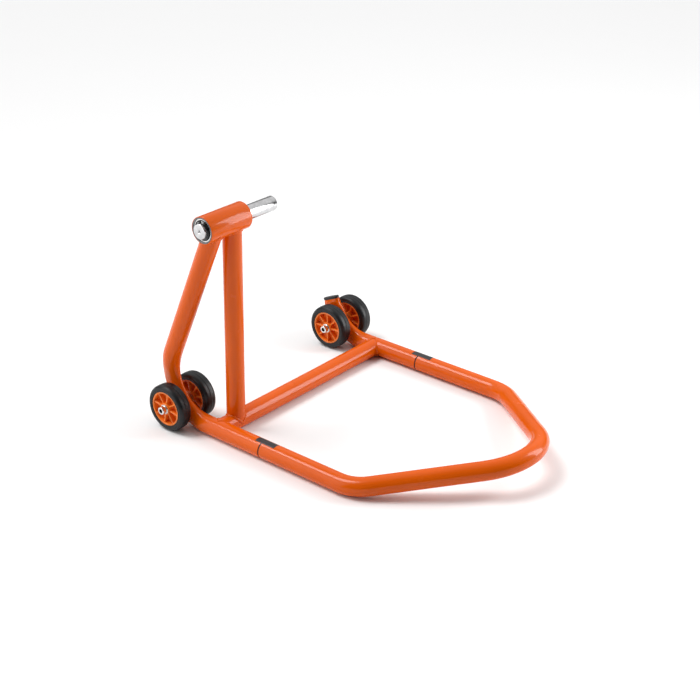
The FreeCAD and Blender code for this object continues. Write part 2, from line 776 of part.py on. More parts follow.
doc.recompute()
nodes = [item for item in doc.Objects
         if item.TypeId == "PartDesign::Body" or item.Label.startswith("bearing_balls")]
for item in doc.Objects:
    if "Invalid" in item.State or "Error" in item.State:
        raise RuntimeError(f"{item.Name} ({item.Label}) failed: {item.State}")
os.makedirs("parts", exist_ok=True)
for node in nodes:
    if node.Shape.isNull() or not node.Shape.isValid():
        raise RuntimeError(f"{node.Label} has no valid shape")
for node in nodes:
    node.Shape.exportStep(f"parts/{node.Label}.step")
    print(node.Label, len(node.Shape.Solids), round(node.Shape.Volume))
print(len(nodes), "sub-parts")
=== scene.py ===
import json
import math

import bmesh
import bpy
from mathutils import Matrix, Vector


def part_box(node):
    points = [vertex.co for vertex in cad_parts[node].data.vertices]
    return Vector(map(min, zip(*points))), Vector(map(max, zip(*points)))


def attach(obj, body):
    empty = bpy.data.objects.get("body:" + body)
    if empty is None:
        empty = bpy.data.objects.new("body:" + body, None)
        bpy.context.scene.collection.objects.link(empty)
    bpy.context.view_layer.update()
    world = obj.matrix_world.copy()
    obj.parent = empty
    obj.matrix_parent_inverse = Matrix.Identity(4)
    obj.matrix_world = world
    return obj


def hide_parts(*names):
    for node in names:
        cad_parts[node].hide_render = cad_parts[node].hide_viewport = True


# Looks of the paddock stand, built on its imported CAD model.
# +X runs along the lifting pin, +Y to the wheels, +Z up. Lengths are in metres unless a name ends in _MM.
# A profile lists (x, radius, corner radius) in millimetres; a corner radius of 0 keeps the corner sharp.

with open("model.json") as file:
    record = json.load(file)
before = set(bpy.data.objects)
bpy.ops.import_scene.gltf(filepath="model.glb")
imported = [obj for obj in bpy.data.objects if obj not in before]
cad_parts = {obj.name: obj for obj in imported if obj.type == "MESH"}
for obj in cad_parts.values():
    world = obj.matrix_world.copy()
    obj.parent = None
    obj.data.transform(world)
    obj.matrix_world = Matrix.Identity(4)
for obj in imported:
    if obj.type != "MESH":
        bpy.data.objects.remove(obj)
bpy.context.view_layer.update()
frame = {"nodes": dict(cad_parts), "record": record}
NODES = frame["nodes"]
SCENE = bpy.context.scene
MM = 0.001
WHEELS = ("near_left", "near_right", "far_left", "far_right")
SIDES = ("near", "far")

# Camera, solved from the photograph in the row frame
CAMERA_PLACE = (-1.6750, -1.3442, 1.2052)
CAMERA_AZIMUTH = -49.81
CAMERA_ELEVATION = 26.38
FOCAL_IN_WIDTHS = 1487.4 / 700
SENSOR_MM = 36.0

# ---------------------------------------------------------------- places read from the CAD


def middle(node):
    low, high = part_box(node)
    return (low + high) / 2


def extent(node):
    low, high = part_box(node)
    return high - low


TUBE_RADIUS = extent("crossbar").z / 2
CROSS = middle("crossbar")
HOUSING = middle("pin_housing")
HOUSING_RADIUS = extent("pin_housing").z / 2
HOUSING_LONG_MM = extent("pin_housing").x / MM
STRUT_LEAN = math.radians(114)
WHEEL_PLACE = {name: middle(f"bush_{name}") for name in WHEELS}
# Where the ribs of each rim stand, in degrees about X
RIM_TURN = {"near_left": 101.0, "near_right": 122.0, "far_left": 90.0, "far_right": 110.0}

# ---------------------------------------------------------------- material helpers

# Noise scales are in cells per metre and bump depths in metres.
# Most of a noise's values lie between these two, and a narrower span gives colour patches more contrast.
NOISE_LOW, NOISE_HIGH = 0.3, 0.7
PATCH_LOW, PATCH_HIGH = 0.35, 0.65

# The two base colours that each material drifts between
POWDER_COAT = ((0.670, 0.094, 0.0006, 1), (0.720, 0.106, 0.0010, 1))
ORANGE_PLASTIC = ((0.78, 0.165, 0.008, 1), (0.86, 0.205, 0.014, 1))
DUSTY_RUBBER = ((0.0035, 0.004, 0.005, 1), (0.008, 0.0088, 0.011, 1))
PALE_FLOOR = ((0.90, 0.90, 0.90, 1), (0.92, 0.92, 0.92, 1))
BLACK_SHADES = ((0.8, 0.8, 0.85), (1.5, 1.5, 1.6))
METAL_DULL, METAL_BRIGHT = 0.86, 1.04
# Phase of the tyre's mould marks, in radians per metre from the axle
MOULD_MARKS = 9000.0


class Nodes:
    """A material's node tree, with short calls for the nodes used here."""

    def __init__(self, name, **sockets):
        self.material = bpy.data.materials.new(name)
        self.material.use_nodes = True
        self.tree = self.material.node_tree
        self.shader = self.tree.nodes["Principled BSDF"]
        for socket, value in sockets.items():
            self.shader.inputs[socket.replace("_", " ")].default_value = value
        self.coords = self.tree.nodes.new("ShaderNodeTexCoord").outputs["Object"]

    def node(self, kind, inputs=(), **settings):
        made = self.tree.nodes.new(kind)
        for key, value in settings.items():
            setattr(made, key, value)
        for key, value in dict(inputs).items():
            self.put(made.inputs[key], value)
        return made

    def put(self, socket, value):
        if isinstance(value, bpy.types.NodeSocket):
            self.tree.links.new(value, socket)
        else:
            socket.default_value = value

    def noise(self, scale, detail=2.0, rough=0.5):
        inputs = {"Vector": self.coords, "Scale": scale, "Detail": detail, "Roughness": rough}
        return self.node("ShaderNodeTexNoise", inputs).outputs[0]

    def remap(self, value, low=0.0, high=1.0, start=NOISE_LOW, end=NOISE_HIGH):
        inputs = {"Value": value, "From Min": start, "From Max": end, "To Min": low, "To Max": high}
        return self.node("ShaderNodeMapRange", inputs).outputs[0]

    def patches(self, value):
        return self.remap(value, start=PATCH_LOW, end=PATCH_HIGH)

    def blend(self, factor, first, second):
        mix = self.node("ShaderNodeMix", data_type="RGBA")
        self.put(mix.inputs["Factor"], factor)
        self.put(mix.inputs[6], first)
        self.put(mix.inputs[7], second)
        return mix.outputs[2]

    def math(self, kind, first, second=0.0):
        return self.node("ShaderNodeMath", {0: first, 1: second}, operation=kind).outputs[0]

    def ring_distance(self):
        """Distance from the piece's own X axis."""
        flat = self.node("ShaderNodeMapping", {"Vector": self.coords, "Scale": (0, 1, 1)}).outputs[0]
        return self.node("ShaderNodeVectorMath", {0: flat}, operation="LENGTH").outputs["Value"]

    def bump(self, height, depth, strength=1.0, before=None):
        inputs = {"Height": height, "Distance": depth, "Strength": strength}
        made = self.node("ShaderNodeBump", inputs)
        if before is not None:
            self.put(made.inputs["Normal"], before)
        return made.outputs[0]

    def finish(self, **links):
        for socket, value in links.items():
            self.put(self.shader.inputs[socket.replace("_", " ")], value)
        return self.material


def paint(name):
    """Glossy orange powder coat with a fine orange peel."""
    n = Nodes(name, Coat_Weight=0.30, Coat_Roughness=0.07, IOR=1.5, Specular_IOR_Level=0.10)
    colour = n.blend(n.patches(n.noise(7.0, 3.0)), *POWDER_COAT)
    rough = n.remap(n.noise(45.0, 4.0), 0.20, 0.28)
    peel = n.bump(n.noise(420.0, 2.0), 0.00004, 0.4)
    return n.finish(Base_Color=colour, Roughness=rough, Normal=peel)


def moulded_orange(name):
    """Injection-moulded orange plastic of the rims."""
    n = Nodes(name, IOR=1.48)
    colour = n.blend(n.noise(60.0, 3.0), *ORANGE_PLASTIC)
    rough = n.remap(n.noise(220.0, 3.0), 0.30, 0.42)
    grain = n.bump(n.noise(1600.0, 2.0), 0.00003, 0.4)
    return n.finish(Base_Color=colour, Roughness=rough, Normal=grain)


def tyre_rubber(name):
    """Black rubber, slightly dusty, with the fine circular marks of its mould."""
    n = Nodes(name, IOR=1.5, Specular_IOR_Level=0.35)
    dust = n.remap(n.noise(90.0, 5.0, 0.6), start=0.4, end=0.75)
    colour = n.blend(dust, *DUSTY_RUBBER)
    rough = n.remap(n.noise(160.0, 3.0), 0.34, 0.46)
    rings = n.math("SINE", n.math("MULTIPLY", n.ring_distance(), MOULD_MARKS))
    marks = n.bump(rings, 0.000012, 0.5)
    grain = n.bump(n.noise(1400.0, 3.0), 0.00004, 0.5, marks)
    return n.finish(Base_Color=colour, Roughness=rough, Normal=grain)


def soft_black(name, tone=0.012, rough=(0.5, 0.65), grain=1500.0):
    """Matt black plastic or rubber with a fine grain."""
    n = Nodes(name, IOR=1.46)
    shades = [tuple(tone * part for part in shade) + (1,) for shade in BLACK_SHADES]
    colour = n.blend(n.noise(120.0, 4.0), *shades)
    roughness = n.remap(n.noise(240.0, 3.0), *rough)
    bumps = n.bump(n.noise(grain, 2.0), 0.00005, 0.6)
    return n.finish(Base_Color=colour, Roughness=roughness, Normal=bumps)


def turned_metal(name, tone, rough, ring_pitch=0.0004, ring_depth=0.000006, tint=(1.0, 1.0, 1.0)):
    """Metal with fine turning marks round the X axis of its own coordinates."""
    n = Nodes(name, Metallic=1.0)
    dull = tuple(tone * METAL_DULL * part for part in tint) + (1,)
    bright = tuple(tone * METAL_BRIGHT * part for part in tint) + (1,)
    colour = n.blend(n.patches(n.noise(150.0, 4.0)), dull, bright)
    roughness = n.remap(n.noise(300.0, 3.0), rough * 0.8, rough * 1.25)
    spread = n.math("ADD", n.ring_distance(), n.node("ShaderNodeSeparateXYZ", {0: n.coords}).outputs[0])
    rings = n.math("SINE", n.math("MULTIPLY", spread, 2 * math.pi / ring_pitch))
    marks = n.bump(rings, ring_depth, 0.6)
    return n.finish(Base_Color=colour, Roughness=roughness, Normal=marks)


PAINT = paint("orange_powder_coat")
PLASTIC = moulded_orange("orange_plastic")
TYRE = tyre_rubber("tyre_rubber")
ZINC = turned_metal("bright_zinc", 0.80, 0.22, tint=(1.0, 0.995, 0.98))
CHROME = turned_metal("pin_chrome", 0.60, 0.07, ring_depth=0.000002, tint=(1.0, 1.0, 1.01))
GROUND = turned_metal("ground_steel", 0.66, 0.20)
# Machined steel darkened to dark grey: the real machined face, with painted shade at the housing's mouth laid
# over it
MACHINED_AND_SHADE = turned_metal("machined_steel_and_painted_shade", 0.17, 0.30)
SPRING = turned_metal("black_spring_steel", 0.07, 0.36)
KEY = soft_black("key_dark_grey", 0.020, (0.36, 0.48), 900.0)
RING = soft_black("joint_ring_rubber", 0.006)
CAP = soft_black("cap_plastic", 0.012, (0.42, 0.56), 800.0)
SEAL = soft_black("seal_rubber", 0.008)
BUSH = turned_metal("bush_steel", 0.55, 0.30)
SLEEVE = turned_metal("sleeve_steel", 0.48, 0.35)

FINISHES = {"frame_paint": PAINT, "tyre": TYRE, "rim": PLASTIC, "bush": BUSH, "fastener": ZINC,
            "key": KEY, "joint_ring": RING, "sleeve": SLEEVE, "cap": CAP, "pin": CHROME,
            "seal": SEAL, "bearing": GROUND, "clip": SPRING}

for part in frame["record"]["subparts"]:
    mesh = NODES[part["node"]].data
    mesh.materials.clear()
    mesh.materials.append(FINISHES[part["material_slot"]])

# ---------------------------------------------------------------- mesh helpers

ON_AXIS = 1e-7
TOOL_CLEAR_MM = 1.0
BEVEL_FROM = math.radians(38)


def add_piece(name, mesh, body, place=(0, 0, 0), stands_for=(), turn=0.0):
    """Link a finished mesh as a named piece that rides a body; turn is in degrees about X."""
    piece = bpy.data.objects.new(name, mesh)
    SCENE.collection.objects.link(piece)
    piece.location = place
    piece.rotation_euler.x = math.radians(turn)
    if stands_for:
        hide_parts(*stands_for)
    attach(piece, body)


def mesh_from(bm, name):
    """Turn the faces outwards and hand the bmesh over to a new mesh."""
    bmesh.ops.recalc_face_normals(bm, faces=bm.faces)
    mesh = bpy.data.meshes.new(name)
    bm.to_mesh(mesh)
    bm.free()
    return mesh


def lathe(name, outline, segments):
    """Turn a closed outline of (x, r) points round X. Points at r = 0 become one vertex."""
    bm = bmesh.new()
    rings = []
    for x, r in outline:
        if r < ON_AXIS:
            rings.append([bm.verts.new((x, 0, 0))])
            continue
        angles = [2 * math.pi * step / segments for step in range(segments)]
        rings.append([bm.verts.new((x, r * math.cos(a), r * math.sin(a))) for a in angles])
    for first, second in zip(rings, rings[1:] + rings[:1]):
        if len(first) == 1 and len(second) == 1:
            continue
        for step in range(segments):
            after = (step + 1) % segments
            corners = [first[step % len(first)], first[after % len(first)],
                       second[after % len(second)], second[step % len(second)]]
            bm.faces.new(list(dict.fromkeys(corners)))
    mesh = mesh_from(bm, name)
    smooth(mesh)
    return mesh


def smooth(mesh, angle=32.0):
    """Smooth faces, with sharp edges kept where they turn by more than angle."""
    mesh.polygons.foreach_set("use_smooth", [True] * len(mesh.polygons))
    mesh.set_sharp_from_angle(angle=math.radians(angle))


def rounded(profile, steps):
    """Round the corners of a closed profile of (x, y, corner radius), with steps faces to a corner."""
    path = []
    for index, (x, y, radius) in enumerate(profile):
        here = Vector((x, y))
        if radius <= 0:
            path.append(tuple(here))
            continue
        back = (Vector(profile[index - 1][:2]) - here).normalized()
        ahead = (Vector(profile[(index + 1) % len(profile)][:2]) - here).normalized()
        half = back.angle(ahead) / 2
        reach = radius / math.tan(half)
        centre = here + (back + ahead).normalized() * (radius / math.sin(half))
        first, last = here + back * reach - centre, here + ahead * reach - centre
        turn = first.angle(last)
        for step in range(steps + 1):
            t = step / steps
            spoke = (first * math.sin((1 - t) * turn) + last * math.sin(t * turn)) / math.sin(turn)
            path.append(tuple(centre + spoke))
    return path


def spun(name, profile, finish=None, steps=3, segments=64):
    """A lathe mesh from a profile in millimetres."""
    path = rounded(profile, steps)
    mesh = lathe(name, [(x * MM, max(r, 0.0) * MM) for x, r in path], segments)
    if finish is not None:
        mesh.materials.append(finish)
    return mesh


def plug(name, profile):
    """A lathe mesh that serves as a tool: the profile's points are sharp (x, radius)."""
    return spun(name, [(x, r, 0) for x, r in profile])


def prism(name, outline, low, high, along="X", rotation=None):
    """A closed prism along local X or Z. Its outline, in millimetres, lies in the other two axes."""
    bm = bmesh.new()
    ends = []
    for depth in (low * MM, high * MM):
        spots = [(a * MM, b * MM) for a, b in outline]
        ends.append([bm.verts.new((depth, *spot) if along == "X" else (*spot, depth)) for spot in spots])
    first, last = ends
    bm.faces.new(first)
    bm.faces.new(last)
    for index in range(len(outline)):
        after = (index + 1) % len(outline)
        bm.faces.new((first[index], first[after], last[after], last[index]))
    mesh = mesh_from(bm, name)
    if rotation is not None:
        mesh.transform(rotation)
    return mesh


def circle_outline(radius, middle_y, middle_z, count):
    angles = [2 * math.pi * step / count for step in range(count)]
    return [(middle_y + radius * math.cos(a), middle_z + radius * math.sin(a)) for a in angles]


def hexagon_outline(half_flat, turn=0.0):
    corner = half_flat / math.cos(math.pi / 6)
    angles = [math.pi / 3 * step + turn for step in range(6)]
    return [(corner * math.cos(a), corner * math.sin(a)) for a in angles]


def combined(name, base, others, kind, bevel=0.0, segments=1):
    """Boolean of one mesh with others, then an optional bevel of its hard edges."""
    target = bpy.data.objects.new(name, base)
    SCENE.collection.objects.link(target)
    tools = []
    for number, mesh in enumerate(others):
        tool = bpy.data.objects.new(f"{name}_tool", mesh)
        SCENE.collection.objects.link(tool)
        tools.append(tool)
        cut = target.modifiers.new(f"step{number}", "BOOLEAN")
        cut.operation = kind
        cut.object = tool
        cut.solver = "EXACT"
    if bevel > 0:
        edge = target.modifiers.new("bevel", "BEVEL")
        edge.width = bevel
        edge.segments = segments
        edge.limit_method = "ANGLE"
        edge.angle_limit = BEVEL_FROM
        edge.harden_normals = False
    bpy.context.view_layer.update()
    graph = bpy.context.evaluated_depsgraph_get()
    made = bpy.data.meshes.new_from_object(target.evaluated_get(graph))
    made.name = name
    for item in tools + [target]:
        bpy.data.objects.remove(item)
    smooth(made, 35.0)
    return made


# ---------------------------------------------------------------- wheels

# Half sections from the bore to the outside; the other half mirrors them at -x
TYRE_HALF_MM = [(11.2, 29.6, 0), (11.75, 30.0, 0.3), (12.0, 30.7, 0.3), (12.0, 31.4, 0.25),
                (11.5, 31.9, 0.25), (11.75, 32.6, 0.4), (12.0, 34.0, 1.2), (11.6, 36.4, 2.2),
                (9.6, 38.7, 2.6), (6.6, 39.7, 2.4), (3.0, 39.88, 1.5), (0.5, 39.86, 0), (0.25, 40.0, 0)]
RIM_HALF_MM = [(11.5, 6.0, 0), (11.5, 9.6, 0.8), (2.0, 9.9, 1.0), (2.0, 26.3, 1.2), (11.1, 26.8, 0.7),
               (11.1, 29.6, 0.6)]
RIB_COUNT = 8
RIB_HALF_LONG_MM = 9.7
RIB_HALF_THICK_MM = 1.3
RIB_EDGE_MM = 0.7
RIB_FROM_MM, RIB_TO_MM = 9.0, 27.6


def mirrored(half):
    return half + [(-x, r, corner) for x, r, corner in reversed(half)]


def tyre_mesh():
    """Solid tyre with a bead ring, a soft shoulder and a fine mould line."""
    return spun("tyre", mirrored(TYRE_HALF_MM), TYRE, steps=5, segments=128)


def rim_mesh():
    """Moulded rim: a rounded lip, a thin web, eight ribs with rounded edges and a hub."""
    body = spun("rim", mirrored(RIM_HALF_MM), steps=4, segments=128)
    corners = [(-RIB_HALF_LONG_MM, -RIB_HALF_THICK_MM), (RIB_HALF_LONG_MM, -RIB_HALF_THICK_MM),
               (RIB_HALF_LONG_MM, RIB_HALF_THICK_MM), (-RIB_HALF_LONG_MM, RIB_HALF_THICK_MM)]
    section = rounded([(x, y, RIB_EDGE_MM) for x, y in corners], 3)
    ribs = []
    for step in range(RIB_COUNT):
        turn = Matrix.Rotation(2 * math.pi * step / RIB_COUNT, 4, "X")
        ribs.append(prism("rib", section, RIB_FROM_MM, RIB_TO_MM, "Z", turn))
    made = combined("rim", body, ribs, "UNION")
    made.materials.append(PLASTIC)
    return made


tyre_data, rim_data = tyre_mesh(), rim_mesh()
for name in WHEELS:
    add_piece(f"soft_tyre_{name}", tyre_data, f"wheel_{name}", WHEEL_PLACE[name], [f"tyre_{name}"])
    add_piece(f"ribbed_rim_{name}", rim_data, f"wheel_{name}", WHEEL_PLACE[name],
              [f"rim_{name}"], turn=RIM_TURN[name])

# ---------------------------------------------------------------- axle bolts, nuts and washers

HEAD_RADIUS_MM, HEAD_DEEP_MM = 6.5, 8.0
SHANK_RADIUS_MM = 4.0
SOCKET_HALF_FLAT_MM, SOCKET_DEEP_MM = 3.3, 5.0
# Faces of the head that lie nearer its axis than this are inside the socket, and take black spring steel as
# painted shade in the socket
SOCKET_SHADE_REACH_MM = 3.9
SOCKET_DISH_MM = [(-1.0, 0.0), (-1.0, 4.7), (0.9, 2.8), (0.9, 0.0)]

NUT_HALF_FLAT_MM, NUT_THICK_MM = 6.5, 5.2
NUT_CHAMFER_MM = [(0.0, 0.0), (0.0, 6.6), (0.55, 7.55), (4.65, 7.55), (5.2, 6.6), (5.2, 0.0)]
NUT_COLLAR_MM = [(4.0, 0.0, 0), (4.0, 6.0, 0), (7.0, 5.7, 0.9), (7.0, 0.0, 0)]
NUT_BORE_MM = [(-1.0, 0.0), (-1.0, 4.0), (8.0, 4.0), (8.0, 0.0)]

WASHER_MM = [(0.0, 4.05, 0.15), (0.0, 8.0, 0.3), (1.2, 8.0, 0.3), (1.2, 4.05, 0.15)]


def socket_bolt(length):
    """Socket-head bolt along X: the head's face is at x = 0 and the thread's end at x = length."""
    body = spun("axle_bolt", [(0.0, 0.0, 0), (0.0, HEAD_RADIUS_MM, 0.9), (HEAD_DEEP_MM, HEAD_RADIUS_MM, 0.3),
                              (HEAD_DEEP_MM, SHANK_RADIUS_MM, 0.3), (length, SHANK_RADIUS_MM, 0.8),
                              (length, 0.0, 0)], segments=72)
    outline = hexagon_outline(SOCKET_HALF_FLAT_MM, math.pi / 6)
    tools = [prism("socket", outline, -TOOL_CLEAR_MM, SOCKET_DEEP_MM), plug("dish", SOCKET_DISH_MM)]
    made = combined("axle_bolt", body, tools, "DIFFERENCE")
    made.materials.append(ZINC)
    # The socket's walls and floor are zinc like the head; their black spring steel is painted shade in the
    # recess
    made.materials.append(SPRING)
    for face in made.polygons:
        inside = math.hypot(face.center.y, face.center.z) < SOCKET_SHADE_REACH_MM * MM
        if inside and face.center.x < (SOCKET_DEEP_MM + 0.1) * MM:
            face.material_index = 1
    return made


def lock_nut():
    """Hexagon lock nut along X from 0, with a rolled collar that holds its insert."""
    block = prism("nut", hexagon_outline(NUT_HALF_FLAT_MM), 0.0, NUT_THICK_MM)
    hexed = combined("nut", block, [plug("chamfer", NUT_CHAMFER_MM)], "INTERSECT")
    joined = combined("nut", hexed, [spun("collar", NUT_COLLAR_MM)], "UNION")
    made = combined("axle_nut", joined, [plug("bore", NUT_BORE_MM)], "DIFFERENCE")
    made.materials.append(ZINC)
    return made


bolt_low, bolt_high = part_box("axle_bolt_near")
bolt_data = socket_bolt((bolt_high - bolt_low).x / MM)
nut_data = lock_nut()
washer_data = spun("washer", WASHER_MM, ZINC)
for side in SIDES:
    for data, node in ((bolt_data, f"axle_bolt_{side}"), (nut_data, f"axle_nut_{side}"),
                       (washer_data, f"axle_washer_{side}_left"), (washer_data, f"axle_washer_{side}_right")):
        start = middle(node)
        start.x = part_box(node)[0].x
        add_piece(f"turned_{node}", data, "frame", start, [node])

# ---------------------------------------------------------------- housing, pin and circlips

BARREL_RADIUS_MM = 22.1
BARE_WITHIN_MM = 21.0
# The housing's mouth, from its painted edge over the machined ring and the bearing's seat to the bore
MOUTH_MM = [(0.35, 21.0), (0.35, 20.6), (0.0, 20.4), (0.0, 18.9), (0.4, 18.5), (8.5, 18.5), (8.5, 16.5)]

JOURNAL_MM = 12.5
LIFTING_END_MM = 12.25
GROOVE_MM = 11.85
NECK_PAST_HOUSING_MM = 1.0
CENTRE_HOLE_MM = [(5.2, 0.0, 0), (3.6, 1.25, 0), (2.0, 1.25, 0), (0.0, 2.6, 0.2)]

CLIP_THICK_MM = 1.2
CLIP_GAP = math.radians(20)
CLIP_STEPS = 56
CLIP_OUTER_MM, CLIP_TAPER_MM = 14.15, 0.75
LUG_OUT_MM, LUG_PAST_GAP = 14.0, 0.06
LUG_RADIUS_MM, LUG_HOLE_MM = 2.3, 1.0


def housing_mesh():
    """Housing with painted barrel, machined end rings and bearing seats, from x = 0; the machined faces are
    dark grey as painted shade at the mouth.
    """
    long = HOUSING_LONG_MM
    profile = [(0.0, BARE_WITHIN_MM, 0), (0.0, BARREL_RADIUS_MM, 0.7), (long, BARREL_RADIUS_MM, 0.7),
               (long, BARE_WITHIN_MM, 0)]
    profile += [(long - x, r, 0) for x, r in MOUTH_MM] + [(x, r, 0) for x, r in reversed(MOUTH_MM)]
    mesh = spun("housing", profile, PAINT, steps=4, segments=128)
    mesh.materials.append(MACHINED_AND_SHADE)
    # Faces inside the mouth take the darkened machined steel: painted shade at the mouth's edge and in the
    # bore
    for face in mesh.polygons:
        if math.hypot(face.center.y, face.center.z) < BARE_WITHIN_MM * MM:
            face.material_index = 1
    return mesh


def pin_mesh(low, high):
    """Spindle along X from 0: journal, circlip grooves, lifting end and drilled centres."""
    total = high - low
    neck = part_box("pin_housing")[1].x / MM - low + NECK_PAST_HOUSING_MM
    profile = CENTRE_HOLE_MM + [(0.0, JOURNAL_MM, 1.2)]
    for side in ("left", "right"):
        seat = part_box(f"circlip_{side}")[0].x / MM - low
        end = seat + CLIP_THICK_MM
        profile += [(seat, JOURNAL_MM, 0), (seat, GROOVE_MM, 0), (end, GROOVE_MM, 0), (end, JOURNAL_MM, 0)]
    profile += [(neck, JOURNAL_MM, 0.1), (neck, LIFTING_END_MM, 0), (total, LIFTING_END_MM, 1.5)]
    profile += [(total - x, r, corner) for x, r, corner in reversed(CENTRE_HOLE_MM)]
    return spun("lifting_pin", profile, CHROME, segments=144)


def circlip_mesh():
    """External circlip: tapering arms that end in two drilled lugs."""
    outer_arc, inner_arc = [], []
    for step in range(CLIP_STEPS + 1):
        angle = CLIP_GAP + (2 * math.pi - 2 * CLIP_GAP) * step / CLIP_STEPS
        reach = CLIP_OUTER_MM - CLIP_TAPER_MM * math.cos(angle)
        outer_arc.append((reach * math.sin(angle), reach * math.cos(angle)))
        inner_arc.append((GROOVE_MM * math.sin(angle), GROOVE_MM * math.cos(angle)))
    arms = prism("clip", outer_arc + inner_arc[::-1], 0.0, CLIP_THICK_MM)
    lugs, tools = [], []
    for sign in (-1, 1):
        lug_y = sign * LUG_OUT_MM * math.sin(CLIP_GAP + LUG_PAST_GAP)
        lug_z = LUG_OUT_MM * math.cos(CLIP_GAP + LUG_PAST_GAP)
        lugs.append(prism("lug", circle_outline(LUG_RADIUS_MM, lug_y, lug_z, 20), 0.0, CLIP_THICK_MM))
        hole = circle_outline(LUG_HOLE_MM, lug_y, lug_z, 14)
        tools.append(prism("hole", hole, -TOOL_CLEAR_MM, 2 * TOOL_CLEAR_MM))
    whole = combined("clip", arms, lugs, "UNION")
    tools.append(plug("seat", [(-1.0, 0.0), (-1.0, GROOVE_MM), (3.0, GROOVE_MM), (3.0, 0.0)]))
    made = combined("circlip", whole, tools, "DIFFERENCE", bevel=0.08 * MM)
    made.materials.append(SPRING)
    return made


housing_start = Vector((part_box("pin_housing")[0].x, HOUSING.y, HOUSING.z))
add_piece("machined_housing", housing_mesh(), "frame", housing_start, ["pin_housing"])

pin_low, pin_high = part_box("lifting_pin")
add_piece("turned_lifting_pin", pin_mesh(pin_low.x / MM, pin_high.x / MM), "spindle",
          (pin_low.x, HOUSING.y, HOUSING.z), ["lifting_pin"])
clip_data = circlip_mesh()
for side in ("left", "right"):
    start = (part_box(f"circlip_{side}")[0].x, HOUSING.y, HOUSING.z)
    add_piece(f"lugged_circlip_{side}", clip_data, "spindle", start, [f"circlip_{side}"])

# ---------------------------------------------------------------- keys and screws of the handle's joints

KEY_HALF_WIDTH_MM = 6.5
KEY_CROWN_MM = 15.8
KEY_FOOT_MM = 10.5
KEY_COLUMNS = 9
KEY_EDGE_MM = 0.9
SCREW_MM = [(0.0, 0.0, 0), (0.0, 5.0, 0.15), (2.0, 3.0, 0), (7.5, 3.0, 0.4), (7.5, 0.0, 0)]
SCREW_HALF_FLAT_MM, SCREW_SOCKET_MM = 1.6, 2.2


def key_mesh():
    """Key with a crowned top that follows the tube and softly rounded edges, centred on its foot."""
    arc = []
    for step in range(KEY_COLUMNS):
        across = KEY_HALF_WIDTH_MM * (1 - 2 * step / (KEY_COLUMNS - 1))
        arc.append((across, math.sqrt(KEY_CROWN_MM ** 2 - across ** 2) - KEY_FOOT_MM))
    outline = [(-KEY_HALF_WIDTH_MM, 0.0), (KEY_HALF_WIDTH_MM, 0.0)] + arc
    half = extent("joint_key_near").y / 2 / MM
    bar = prism("key", outline, -half, half, rotation=Matrix.Rotation(math.pi / 2, 4, "Z"))
    made = combined("joint_key", bar, [], "UNION", bevel=KEY_EDGE_MM * MM, segments=3)
    made.materials.append(KEY)
    return made


def countersunk_screw():
    """Countersunk screw that stands up Z from its flat head at z = 0, with a hexagon socket."""
    socket = prism("socket", hexagon_outline(SCREW_HALF_FLAT_MM), -TOOL_CLEAR_MM, SCREW_SOCKET_MM)
    made = combined("joint_screw", spun("screw", SCREW_MM), [socket], "DIFFERENCE")
    made.transform(Matrix.Rotation(-math.pi / 2, 4, "Y"))
    made.materials.append(ZINC)
    return made


key_data = key_mesh()
screw_data = countersunk_screw()
for side in SIDES:
    foot = middle(f"joint_key_{side}")
    foot.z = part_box(f"joint_key_{side}")[0].z
    add_piece(f"crowned_key_{side}", key_data, "frame", foot, [f"joint_key_{side}"])
    head = middle(f"joint_screw_{side}")
    head.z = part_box(f"joint_screw_{side}")[0].z
    add_piece(f"socket_screw_{side}", screw_data, "frame", head, [f"joint_screw_{side}"])

# ---------------------------------------------------------------- weld beads

BEAD_STEPS = 360
BEAD_SIDES = 10
BEAD_FLATNESS = 0.62
RIPPLE_PITCH = 0.0026
RIPPLE_HEIGHT = 0.13
WANDER, WANDER_PER_METRE = 0.03, 310.0
FLOOR_GUARD = 0.0003
CROSSBAR_BEAD, POST_BEAD, HOUSING_BEAD = 0.0023, 0.0025, 0.0024


def across_axis(vector, axis):
    """The part of a vector that is square to an axis."""
    return vector - axis * vector.dot(axis)


def seam(start, along, radius, target, target_along, target_radius):
    """Points where a tube that runs along a line meets another tube, with the way out at each."""
    side = along.orthogonal().normalized()
    across = along.cross(side)
    ray = across_axis(along, target_along)
    square = ray.dot(ray)
    points, outward = [], []
    for step in range(BEAD_STEPS):
        angle = 2 * math.pi * step / BEAD_STEPS
        spoke = side * math.cos(angle) + across * math.sin(angle)
        origin = start + spoke * radius
        gap = across_axis(origin - target, target_along)
        linear = ray.dot(gap)
        free = max(linear ** 2 - square * (gap.dot(gap) - target_radius ** 2), 0.0)
        point = origin + along * ((-linear - math.sqrt(free)) / square)
        points.append(point)
        outward.append((across_axis(point - target, target_along).normalized() + spoke).normalized())
    return points, outward


